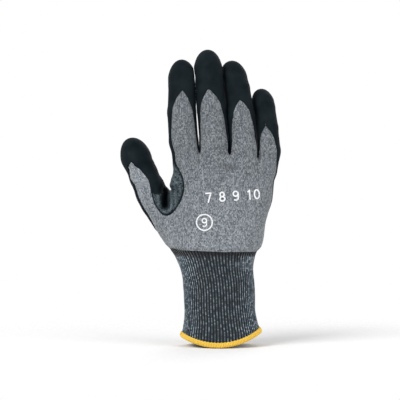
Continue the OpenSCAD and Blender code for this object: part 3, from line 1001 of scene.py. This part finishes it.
# painted shade under the seam, where the liner overhangs the rib: the top of the rib is darkened
painted_seam_shade = rib_finish.between(v, seam_z - 8.0, seam_z - 3.6, 1.0, 0.1)
# painted light: the rib is paler at both sides of the wrist and a little darker in the middle
from_middle = (rib_finish.split(rib_finish.rest())[0] + 1.0).size()
painted_side_light = rib_finish.between(from_middle, 14.0, 29.0, 0.9, 1.8)
rib_finish.set("Base Color", rib_finish.shade(weave, painted_seam_shade * painted_side_light))
rib_finish.bump(crest * tick, 0.3, 0.7)
rib_finish.set("Specular IOR Level", 0.2)
rib_finish.set("Sheen Weight", 0.35)
print(rib_finish.m.name, len(rib_finish.t.nodes), "nodes")

# %% [markdown]
# ## Finishes: thread and film
# The overlock thread is spun polyester in a warm yellow: two close tones for its twist are
# enough, as the strands themselves are modelled. The print is a thin white film that has been
# pressed into the knit, so its white is uneven over the stitches below.

# %% Thread and film
thread = Finish("overlock_thread", (0.86, 0.52, 0.02), 0.65)
two_tones(thread, (1.4, 2.0), [(0.3, (0.66, 0.4, 0.03)), (0.7, (0.8, 0.54, 0.07))],
          (5.0, 1.0), (0.12, 0.5))
film = Finish("print_film", (0.72, 0.73, 0.75), 0.55)
two_tones(film, (1.1, 3.0), [(0.35, (0.56, 0.57, 0.59)), (0.6, (0.8, 0.81, 0.83))],
          (2.0, 2.0), (0.1, 0.4))

# %% [markdown]
# ## Pieces that cross a hinge
# Parenting a piece to one bone would tear it from the next at each joint. So each stall is cut
# half way between its hinges. A piece then crosses just one hinge: it is given the part of the
# finger on each side and the stretch between them where it would bend, but stays where it is.

# %% From a skin to a piece
def build(name, skin, finish):
    """A Blender object from a skin, in metres, with its knit coordinates and rest places."""
    mesh = bpy.data.meshes.new(name)
    mesh.from_pydata((skin.v / MM).tolist(), [], skin.t.tolist())
    mesh.update()
    place = mesh.attributes.new("rest", "FLOAT_VECTOR", "POINT")
    place.data.foreach_set("vector", skin.a["rest"].astype(np.float32).ravel())
    for extra in ("fade", "hole"):
        if extra in skin.a:
            numbers = mesh.attributes.new(extra, "FLOAT", "POINT")
            numbers.data.foreach_set("value", skin.a[extra].astype(np.float32))
    if "uv" in skin.a:
        corners = np.zeros(len(mesh.loops), int)
        mesh.loops.foreach_get("vertex_index", corners)
        knit_map = mesh.uv_layers.new(name="knit")
        knit_map.data.foreach_set("uv", skin.a["uv"][corners].astype(np.float32).ravel())
    mesh.shade_smooth()
    if "n" in skin.a:
        n = skin.a["n"] / np.linalg.norm(skin.a["n"], axis=1, keepdims=True)
        mesh.normals_split_custom_set_from_vertices(n.tolist())
    mesh.materials.append(finish.m)
    obj = bpy.data.objects.new(name, mesh)
    bpy.context.scene.collection.objects.link(obj)
    return obj


def piece(name, skin, finish, stands_for, body=None, bend=None):
    """A piece that rides on one body, or, given a bend, stays where it is."""
    obj = build(name, skin, finish)
    if bend:
        a, b, start, end = bend
        Vector(start / MM)
        Vector(end / MM)
        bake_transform(obj)
    else:
        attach(obj, body)
    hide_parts(*stands_for)
    print(name, len(skin.t), "triangles on", body or f"{bend[0]} and {bend[1]}")


print("bodies that move:", ", ".join(sorted({j["child"] for j in joints.values()})))

# %% [markdown]
# ## The hand
# The hand's own pieces end at the roots of the stalls and at the seam with the cuff. There the
# liner is gathered onto the rib, so its last few millimetres turn in, and the line laps lower
# over the cuff towards the little finger. All of it goes with one body, the hand.

# %% Pieces of the hand
SEAM_LAP = 0.8
TURN_IN = 2.0


def belongs(skin, k):
    """Above zero where a point is part of stall k's own pieces."""
    p = skin.a["rest"]
    d = np.stack([stall_distance(p, q) for q in everyone])
    others = np.delete(d, k, 0).min(0)
    return np.minimum(round_stall(p, everyone[k])[0] - CUT_AT, others - d[k])


def hand_only(skin):
    """What no stall takes."""
    return skin.cut(-np.max([belongs(skin, k) for k in range(len(everyone))], axis=0))


def seam_drop(x):
    """The liner laps lower over the cuff towards the little finger's side."""
    return 1.1 * smooth(-30, 5, x) + 0.6 * smooth(5, 38, x)


def above_seam(skin):
    x, _, z = skin.a["rest"].T
    return skin.cut(z - (seam_z - SEAM_LAP - seam_drop(x)))


knit, coat, patch = hand_layers
hand_knit = hand_only(above_seam(knit))
over_seam = hand_knit.v[:, 2] + seam_drop(hand_knit.v[:, 0]) - seam_z
turn_in = smooth(4, -1.5, over_seam)[:, None] ** 1.5
hand_knit.v = hand_knit.v - hand_knit.a["n"] * [1, 1, 0] * TURN_IN * turn_in
hand_knit.normals()
piece("liner_hand", hand_knit, liner, ["hand_knit"], body="hand")
piece("coat_palm", hand_only(above_seam(coat)), rubber, ["palm_coat"], body="hand")
piece("second_dip_crotch", hand_only(patch), second_coat, ["crotch_patch"], body="hand")

# %% [markdown]
# ## The fingers
# For each section of each finger there is a piece of liner and a piece of rubber. The first one
# is given the stretch from the root of the stall to a little past the first hinge, the others a
# stretch of equal length on both sides of theirs, as where they would bend. On a fingertip that is
# all rubber no knit is left, and the rubber stands for the knit below it too.

# %% Pieces of the fingers
ROOT_SPAN = 11.5     # the first bend ends at most this far past its hinge
REACH = 10.0         # the others reach at most this far on either side
FEW = 4              # fewer triangles than this are only a crumb


def stations(s):
    """How far along a stall its hinges lie, and where its pieces are cut."""
    at = np.cumsum([0] + [np.linalg.norm(b - a) for a, b in zip(s.line[:-1], s.line[1:-1])])
    hinge_at = at[1:1 + len(s.sections)]
    return hinge_at, [CUT_AT] + [(a + b) / 2 for a, b in zip(hinge_at, hinge_at[1:])] + [FAR]


def bend_over(s, j, hinge_at, cuts):
    """Start and end of the stretch of a stall that would bend with its hinge j."""
    below, over = hinge_at[j] - cuts[j], cuts[j + 1] - hinge_at[j]
    if j == 0:
        return s.root + s.along[0] * CUT_AT, s.spine[0] + s.along[0] * min(ROOT_SPAN, over)
    reach = min(REACH, below, over)
    return s.spine[j] - s.along[j - 1] * reach, s.spine[j] + s.along[j] * reach


def section_of(layer, k, lo, hi):
    """The stretch of a stall's layer between two stations."""
    q = layer.cut(belongs(layer, k))
    for sign, at in ((1, lo), (-1, hi)):
        if CUT_AT < at < FAR:        # the root is cut already, and past the tip is nothing to cut
            q = q.cut(sign * (round_stall(q.a["rest"], everyone[k])[0] - at))
    return q


for k, s in enumerate(everyone):
    knit, coat, _ = stall_layers[s.name]
    hinge_at, cuts = stations(s)
    parent = "hand"
    for j, section in enumerate(s.sections):
        body = f"{s.name}_{section}"
        bend = (parent, body, *bend_over(s, j, hinge_at, cuts))
        knit_part, coat_part = (section_of(layer, k, cuts[j], cuts[j + 1]) for layer in (knit, coat))
        knit_nodes, coat_nodes = [body + "_knit", body + "_bend"], [body + "_coat"]
        if len(knit_part.t) < FEW:
            coat_nodes += knit_nodes
        else:
            piece("liner_" + body, knit_part, liner, knit_nodes, bend=bend)
        piece("coat_" + body, coat_part, rubber, coat_nodes, bend=bend)
        parent = body

# %% [markdown]
# ## The cuff
# The cuff is a rib knit: columns of stitches stand up in ridges with sunken ones between them, so
# that it stretches to let a hand in and then grips the wrist. A bump map would leave its outline
# smooth, so here the ridges are real: the wall goes in and out once for each rib.

# %% Shape of the cuff
# the cuff by height: the middle of it, its half width and its half depth
CUFF_MID = [(8, 0.6), (25, -0.6), (40, -1), (51, -1.8), (61, -3.3), (66, -4), (72, -4.8), (79, -5.9)]
CUFF_HALF = [(-6, 34.4), (6, 33.6), (10, 32.6), (14, 31.5), (18, 31.0), (25, 30.5), (40, 30),
             (51, 30.5), (61, 31.3), (66, 32.2), (72, 34.3), (76, 36.6), (79, 37.8)]
CUFF_DEEP = [(-6, 25), (10, 24), (25, 23.4), (60, 23.4), (79, 24.4)]
# the cut edge rises at the sides and dips in front and behind, and is higher at the little finger
HEM_WAVE, HEM_TILT, HEM_UP = 4.62, 1.8, 0.4
RIBS = 78
PER_RIB = 6          # points across a rib
COUNT = RIBS * PER_RIB
RIB_DEEP, INNER = 0.75, 1.5      # depth of a valley, and how far in the inner face lies
SLACK = 0.35


def cuff_point(angle, z, inset):
    """A point of the cuff, some way in from its outer face."""
    mid, half, deep = (curve(line, z) for line in (CUFF_MID, CUFF_HALF, CUFF_DEEP))
    # slack knit wanders a little between the grip at the wrist and the hem
    wander = SLACK * np.sin(z / 5.2 + 2.3 * np.sin(angle * 2)) * smooth(4, 20, z) * smooth(79, 60, z)
    r = inset - wander
    n = np.stack([np.cos(angle) * deep, np.sin(angle) * half], -1)
    n = n / np.linalg.norm(n, axis=-1, keepdims=True)
    return np.stack([mid + half * np.cos(angle) - n[..., 0] * r,
                     deep * np.sin(angle) - n[..., 1] * r, z], -1)


def hem_rise(angle):
    return HEM_WAVE * np.cos(2 * angle) + HEM_TILT * np.cos(angle) + HEM_UP


def rib_phase(angle, z):
    """Counts the ribs round the cuff; they lean a very little."""
    return angle * RIBS / (2 * np.pi) + z * 0.004


def rib_profile(angle, z):
    """0 on the crest of a rib, its depth in the valley."""
    return RIB_DEEP * smooth(0.25, 0.95, np.abs(rib_phase(angle, z) % 1 - 0.5) * 2)


grip = cuff_point(np.linspace(0, 2 * np.pi, COUNT + 1), np.full(COUNT + 1, 40.0), 0)
girth = np.linalg.norm(np.diff(grip, axis=0), axis=1).sum()
print("girth at the wrist", girth.round(), "mm, a rib is", (girth / RIBS).round(2), "mm wide")

# %% [markdown]
# The wall is rings of points joined by quads, up the outside and down the inside. It is cut once
# more above the hem: below the cut the cuff keeps its shape, and above it the knit is given the
# stretch where it would fold with the wrist, the whole upper half, as a real cuff wrinkles over a
# long way; here it stays where it is.

# %% Ribbed wall
ROWS_OUT, ROWS_IN = 46, 4
HEM_COVERS = 1.3                 # the rib starts this far above the cut edge, inside the hem
TUCKED = 0.2                     # and ends this far above the seam, inside the liner
FLEX = 36.0                      # the cuff is cut at this height; above it lies the part that would fold with the wrist
FOLD_IN, FOLD_OUT = 2, 3.5       # the stretch that would fold starts above that, and ends below the seam


def ring_faces(rings, sides, closed=False):
    """Triangles between rings of points; closed joins the last ring to the first."""
    i, k = np.meshgrid(np.arange(rings if closed else rings - 1), np.arange(sides), indexing="ij")
    here, there, right = i * sides, (i + 1) % rings * sides, (k + 1) % sides
    return halves(np.stack([here + k, here + right, there + right, there + k], -1).reshape(-1, 4))


def ribbed_wall():
    angle = np.arange(COUNT) * 2 * np.pi / COUNT
    low, high = hem_rise(angle) + HEM_COVERS, seam_z + TUCKED
    up = [low + t * (high - low) for t in np.linspace(0, 1, ROWS_OUT)]
    down = [low + t * (high - low) for t in np.linspace(1, 0, ROWS_IN)]
    insets = [rib_profile(angle, z) for z in up] + [np.full(COUNT, INNER)] * ROWS_IN
    pts = np.concatenate([cuff_point(angle, z, inset) for z, inset in zip(up + down, insets)])
    uv = np.concatenate([np.stack([rib_phase(angle, z), z], -1) for z in up + down])
    faces = ring_faces(ROWS_OUT + ROWS_IN, COUNT, closed=True)
    return Skin(pts, faces, uv=uv, rest=pts.copy()).normals()


rib = ribbed_wall()
wrist_x = joints["wrist_hinge"]["pos_m"][0] * MM
fold_zone = [np.array([wrist_x, 0, z]) for z in (FLEX + FOLD_IN, seam_z - FOLD_OUT)]
piece("rib_cuff", rib.cut(FLEX - rib.v[:, 2]), rib_finish, ["cuff_rib"], body="cuff")
piece("rib_wrist", rib.cut(rib.v[:, 2] - FLEX), rib_finish, ["wrist_rib", "seam_rib"],
      bend=("cuff", "hand", *fold_zone))

# %% [markdown]
# ## The hem
# An overlock machine wraps the raw edge of the cuff with thread: strand after strand goes from
# the outside, under the edge, to the inside, and two needle threads lock them along the top. A
# plain yellow ring would look like a rubber band. Here every strand is a thin tube, laid side by
# side with the next, and a core between them closes what gaps are left.

# %% The way of a thread round the edge
HEM_HIGH = 3.7
HEM_OUT, HEM_IN, HEM_MIDDLE = -1.0, 2.4, 0.7     # how far in its faces and its lowest line lie


def hem_section(angle, turn):
    """Round the edge at one place: turn 0 is the top outside, 1 the top inside."""
    up = np.abs(turn * 2 - 1)
    z = hem_rise(angle) + HEM_HIGH * up ** 1.3
    face = np.where(turn < 0.5, HEM_OUT, HEM_IN)
    bow = np.sqrt(np.clip(1 - (up - 0.35) ** 2 / 0.55, 0.05, 1))
    inset = HEM_MIDDLE + (face - HEM_MIDDLE) * np.clip(bow, 0, 1) * smooth(0, 0.16, up) ** 0.5
    return cuff_point(angle, z, inset)


across = [hem_section(0.0, np.array(turn)) for turn in np.linspace(0, 1, 9)]
print("once round the edge is", round(sum(np.linalg.norm(b - a) for a, b in zip(across, across[1:])), 1),
      "mm of thread")

# %% Strands and needle threads
WRAPS = 150
LEAN = 0.9                       # each strand leans by nearly its own width
NEEDLE_LINES = (0.03, 0.97)      # where the needle threads run, outside and inside
NEEDLE_BOB = 0.3                 # and how far they bob up and down over the strands
THREAD_R = 0.62
SIDES = 6


def strand(path):
    """Points of a round thread along a line of points."""
    d = np.gradient(path, axis=0)
    d /= np.linalg.norm(d, axis=1, keepdims=True)
    a = np.cross(d, [0.3, 0.2, 1.0])
    a /= np.linalg.norm(a, axis=1, keepdims=True)
    b = np.cross(d, a)
    t = np.arange(SIDES) * 2 * np.pi / SIDES
    round_it = np.cos(t)[None, :, None] * a[:, None] + np.sin(t)[None, :, None] * b[:, None]
    return (path[:, None] + THREAD_R * round_it).reshape(-1, 3)


paths = []
for k in range(WRAPS):
    t = np.linspace(0, 1, 13)
    lean = (k + LEAN * t) * 2 * np.pi / WRAPS
    paths.append(np.array([hem_section(a, b) for a, b in zip(lean, t)]))
for turn in NEEDLE_LINES:
    a = np.linspace(0, 2 * np.pi, 300)
    side = np.array([hem_section(x, turn) for x in a])
    side[:, 2] += NEEDLE_BOB * np.sin(a * WRAPS / 2)
    paths.append(side)
print("threads", len(paths), "with", sum(len(path) for path in paths), "points along them")

# %% The hem as one piece
CORE_RINGS, CORE_ROUND = 11, 240
corner = np.arange(1, SIDES - 1)
cap = np.stack([np.zeros_like(corner), corner + 1, corner], 1)
points, faces, at = [], [], 0
for path in paths:
    points.append(strand(path))
    end_cap = cap[:, ::-1] + (len(path) - 1) * SIDES
    faces += [ring_faces(len(path), SIDES) + at, cap + at, end_cap + at]
    at += len(points[-1])
around = np.arange(CORE_ROUND) * 2 * np.pi / CORE_ROUND
for turn in np.linspace(0, 1, CORE_RINGS):
    points.append(np.array([hem_section(x, turn) for x in around]))
faces.append(ring_faces(CORE_RINGS, CORE_ROUND) + at)
points = np.concatenate(points)
hem = Skin(points, np.concatenate(faces), rest=points.copy())
piece("overlock_hem", hem, thread, ["hem"], body="cuff")

# %% [markdown]
# ## The print
# Work gloves carry a heat-transfer print: a thin white film pressed into the knit. This one shows
# plain glove sizes in a row with this glove's size in a ring below. A text object would float
# over the curved back. So each numeral is a few pen strokes, and the film is the skin of the back
# itself, cut to the strokes and lifted a little.

# %% Pen strokes for the numerals
def arc(cx, cy, rx, ry, a0, a1, n=14):
    t = np.radians(np.linspace(a0, a1, n))
    return np.stack([cx + rx * np.cos(t), cy + ry * np.sin(t)], 1)


# each numeral is 1 high and stands round 0, 0
NUMERALS = {
    "7": [np.array([[-0.28, 0.5], [0.28, 0.5], [-0.08, -0.5]])],
    "8": [arc(0, 0.25, 0.24, 0.25, 0, 360), arc(0, -0.25, 0.28, 0.25, 0, 360)],
    "9": [arc(0, 0.22, 0.28, 0.28, 0, 360),
          np.concatenate([[[0.28, 0.22]], arc(-0.02, -0.2, 0.3, 0.3, 0, -120)])],
    "1": [np.array([[-0.14, 0.33], [0.04, 0.5], [0.04, -0.5]])],
    "0": [arc(0, 0, 0.28, 0.5, 0, 360, 24)],
}
GAP = 0.8                        # width of a space, as a share of a numeral's
SIZE, SPACING, SLANT = 7.4, 0.86, 4      # height, spacing as a share of it, degrees
RING_R = 6.6                     # the ring's radius, and the height of the numeral in it


def write(text, x, z, size, spacing, tilt):
    """Strokes of a row of numerals in millimetres, starting at x, z."""
    c, s = math.cos(math.radians(tilt)), math.sin(math.radians(tilt))
    turn = np.array([[c, s], [-s, c]])
    strokes = []
    for ch in text:
        if ch != " ":
            strokes += [g * size + [x, 0] for g in NUMERALS[ch]]
        x += spacing * size * (1 if ch != " " else GAP)
    return [g @ turn + [0, z] for g in strokes]


row_lo, row_hi = (np.array(c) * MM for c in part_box("size_row"))
ring_lo, ring_hi = (np.array(c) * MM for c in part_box("size_ring"))
row_x, row_z = row_lo[0] + 1.5, (row_lo[2] + row_hi[2]) / 2 - 2.5
size_strokes = write("7 8 9 10", row_x, row_z, SIZE, SPACING, SLANT)
ring_x, ring_z = (ring_lo[0] + ring_hi[0]) / 2, (ring_lo[2] + ring_hi[2]) / 2 - 3.5
ring_strokes = [arc(ring_x, ring_z, RING_R, RING_R, 0, 360, 40)]
ring_strokes += [g + [ring_x, 0] for g in write("9", 0, ring_z, RING_R, 1, 0)]
print("strokes", len(size_strokes), "and", len(ring_strokes))

# %% Stamp the film
FILM = 0.16          # thickness of the film
SIZE_PEN, RING_PEN = 0.62, 0.55
MARGIN = 2           # skin round the strokes that is split finely with them


def near_strokes(p, strokes, pen):
    """Distance inside the pen's line, negative off it."""
    best = np.full(len(p), FAR)
    for line in strokes:
        for a, b in zip(line, line[1:]):
            d = b - a
            t = np.clip(((p - a) @ d) / max(d @ d, 1e-9), 0, 1)
            best = np.minimum(best, np.linalg.norm(p - a - t[:, None] * d, axis=1))
    return pen - best


def finer(skin):
    """Splits every triangle in four, so that a cut can follow a fine line."""
    e = np.sort(np.concatenate([skin.t[:, [0, 1]], skin.t[:, [1, 2]], skin.t[:, [2, 0]]]), 1)
    uniq, where = np.unique(e, axis=0, return_inverse=True)
    ab, bc, ca = np.split(where.ravel() + len(skin.v), 3)
    a, b, c = skin.t.T
    corners = ((a, ab, ca), (ab, b, bc), (ca, bc, c), (ab, bc, ca))
    t = np.concatenate([np.stack(q, 1) for q in corners])

    def with_middles(q):
        return np.concatenate([q, (q[uniq[:, 0]] + q[uniq[:, 1]]) / 2])

    return Skin(with_middles(skin.v), t, **{k: with_middles(q) for k, q in skin.a.items()})


def stamp(name, strokes, pen, stands_for):
    lo = np.min([g.min(0) for g in strokes], 0) - MARGIN
    hi = np.max([g.max(0) for g in strokes], 0) + MARGIN
    x, y, z = hand_knit.v.T
    near = (x > lo[0]) & (x < hi[0]) & (z > lo[1]) & (z < hi[1]) & (y < 0)
    area = Skin(hand_knit.v, hand_knit.t[near[hand_knit.t].all(1)], **hand_knit.a).tidy()
    area = finer(finer(area))
    ink = area.cut(near_strokes(area.v[:, [0, 2]], strokes, pen))
    ink.lift(FILM)
    piece(name, ink, film, stands_for, body="hand")


stamp("print_sizes", size_strokes, SIZE_PEN, ["size_row"])
stamp("print_ring", ring_strokes, RING_PEN, ["size_ring"])

# %% [markdown]
# ## Floor
# The glove is shown as a shop would: upright, filled, from the back of the hand, on white. The
# floor only has to catch its shadow. A large plane would show its far edge, so it thins out round
# the glove until it is gone.

# %% A floor that fades out
UNDER = 0.2                      # the lowest thread hangs this far above the floor
FLOOR_SIZE = 4                   # metres
FADE_FROM, FADE_TO = 0.07, 0.30  # metres from the middle
lowest = (hem.v[:, 2].min() - UNDER) / MM
bpy.ops.mesh.primitive_plane_add(size=FLOOR_SIZE, location=(0, 0, lowest))
floor = bpy.context.object
floor.name = "floor"
floor_finish = Finish("floor", (0.88, 0.88, 0.88), 0.95)
place = Value(floor_finish, floor_finish.add("ShaderNodeTexCoord").outputs["Object"])
away = floor_finish.fill(floor_finish.add("ShaderNodeVectorMath", operation="LENGTH"), place)
away = Value(floor_finish, away.outputs["Value"])
floor_finish.set("Alpha", floor_finish.between(away, FADE_FROM, FADE_TO, 1.0, 0.0))
floor_finish.set("Specular IOR Level", 0.0)
floor.data.materials.append(floor_finish.m)
print("the floor lies", -(lowest * MM).round(2), "mm below the frame's zero")

# %% [markdown]
# ## Light
# A white room seen by the camera would also flood the glove with light from all sides. So the
# camera sees a bright white, and the glove is lit by a softer one, with three area lamps that
# give it form: a key from the upper left, a weak fill from the right, and one from behind.

# %% The white room
SEEN, SOFT = 1.0, 0.52
world = bpy.data.worlds.new("room")
bpy.context.scene.world = world
world.use_nodes = True
tree = world.node_tree
tree.nodes.clear()
out, mix, ray = (tree.nodes.new("ShaderNode" + kind) for kind in ("OutputWorld", "MixShader", "LightPath"))
for slot, strength in ((1, SOFT), (2, SEEN)):
    sky = tree.nodes.new("ShaderNodeBackground")
    sky.inputs["Color"].default_value = (1, 1, 1, 1)
    sky.inputs["Strength"].default_value = strength
    tree.links.new(sky.outputs[0], mix.inputs[slot])
white_for = ray.outputs["Is Camera Ray"]
for kind in ("Is Glossy Ray", "Is Transmission Ray"):
    either = tree.nodes.new("ShaderNodeMath")
    either.operation = "MAXIMUM"
    tree.links.new(white_for, either.inputs[0])
    tree.links.new(ray.outputs[kind], either.inputs[1])
    white_for = either.outputs[0]
tree.links.new(white_for, mix.inputs[0])
tree.links.new(mix.outputs[0], out.inputs[0])
print("room: seen as", SEEN, "and lit by", SOFT)

# %% Three lamps
LAMPS = {"key": ((-1.15, -1.15, 1.2), 0.9, 29), "fill": ((1.3, -1.0, 0.6), 1.2, 14.5),
         "back": ((0.4, 1.4, 0.7), 1.2, 9)}       # place, size in metres, watts
MIDDLE = Vector((0, 0, 0.12))


def look(obj, place, at):
    """Puts a lamp or camera in its place and turns it to look at a point."""
    obj.location = place
    obj.rotation_euler = (at - Vector(place)).to_track_quat("-Z", "Y").to_euler()
    bpy.context.scene.collection.objects.link(obj)


for name, (place, size, watts) in LAMPS.items():
    data = bpy.data.lights.new(name, "AREA")
    data.size, data.energy = size, watts
    look(bpy.data.objects.new(name, data), place, MIDDLE)
print("lamps", {name: lamp[2] for name, lamp in LAMPS.items()}, "watts")

# %% [markdown]
# ## Camera
# A long lens from nearly two metres keeps the fingers and the cuff in true proportion. A short
# one close by would make the nearest knuckle too big. It looks down by two degrees, just enough
# to see the floor.

# %% Camera
AWAY = 1.8
TILT = math.radians(2.0)
AIM = Vector((-0.0175, 0, 0.119))
lens = bpy.data.cameras.new("camera")
lens.sensor_width, lens.lens = 36, 190.6
camera = bpy.data.objects.new("camera", lens)
look(camera, AIM + Vector((0, -math.cos(TILT), math.sin(TILT))) * AWAY, AIM)
bpy.context.scene.camera = camera
bpy.context.scene.view_settings.view_transform = "Standard"
print("lens", round(lens.lens, 1), "mm at", AWAY, "m")

# %% [markdown]
# ## Done
# What is shown should differ from the CAD box we began with only by what the CAD leaves out:
# swells, bowed fingers and the lift of the print. The pieces that ride on one body are
# parented to an empty of that name; the others stay where they are.
